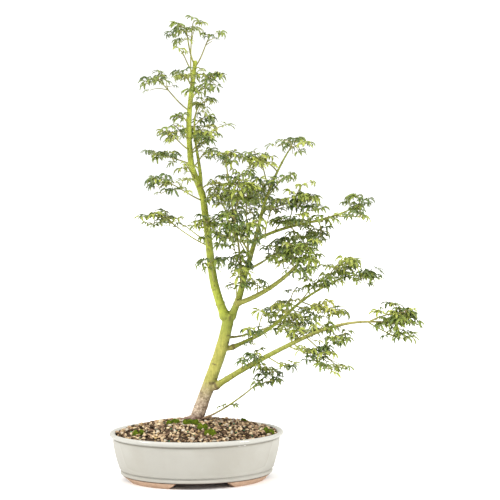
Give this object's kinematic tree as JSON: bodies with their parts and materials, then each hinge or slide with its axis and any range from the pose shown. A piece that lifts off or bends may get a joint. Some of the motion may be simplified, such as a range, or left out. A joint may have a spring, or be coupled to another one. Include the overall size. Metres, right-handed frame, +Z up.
{
  "type": "japanese maple bonsai in an oval glazed pot",
  "caption": "Young Japanese maple trained as a bonsai, with a leaning, forked trunk and airy layers of foliage, in a shallow oval ivory-glazed pot on clay feet.",
  "frame": {"origin": "centre of the bounding box's base, in the plane of the soles of the pot's feet", "axes": "+Z up, +X along the pot's long axis towards the side that the lower boughs reach, the pot's front faces -Y"},
  "size_m": [0.5546, 0.256, 0.8317],
  "materials": {
    "glaze": "gloss",
    "clay": "matte",
    "soil": "matte",
    "bark": "satin",
    "foliage": "satin"
  },
  "bodies": {
    "root": {"back_low": "foliage", "basal_shoot": "bark", "basal_tip": "foliage", "bough_back_high": "bark", "bough_back_low": "bark", "bough_front": "bark", "bough_lower": "bark", "bough_lowest": "bark", "bough_middle": "bark", "bough_upper": "bark", "crown_back": "foliage", "crown_left": "foliage", "crown_low_front": "foliage", "crown_mid_front": "foliage", "crown_mid_left": "foliage", "crown_mid_right": "foliage", "crown_peak": "foliage", "crown_tip_left": "foliage", "crown_tip_right": "foliage", "crown_upper": "foliage", "inner_shoot": "bark", "leader": "bark", "leader_front": "foliage", "leader_high_front": "foliage", "leader_high_left": "foliage", "leader_high_right": "foliage", "leader_left_pair": "foliage", "leader_low_left": "foliage", "leader_lowest_left": "foliage", "leader_mid_left": "foliage", "leader_right": "foliage", "lower_high": "foliage", "lower_inner": "foliage", "lower_mid": "foliage", "lower_outer": "foliage", "lower_tip": "foliage", "lowest_hanging": "foliage", "lowest_inner": "foliage", "lowest_tip": "foliage", "lowest_upper": "foliage", "middle_back": "foliage", "middle_tip": "foliage", "pot": "glaze", "pot_foot_back_left": "clay", "pot_foot_back_right": "clay", "pot_foot_front_left": "clay", "pot_foot_front_right": "clay", "right_fan": "foliage", "right_stem": "bark", "soil": "soil", "stem_tuft": "foliage", "trunk": "bark", "twin_back": "foliage", "twin_right": "foliage", "twin_shoot": "bark", "twin_tip": "foliage", "upper_inner": "foliage", "upper_outer": "foliage", "upper_tip": "foliage"}
  },
  "joints": []
}
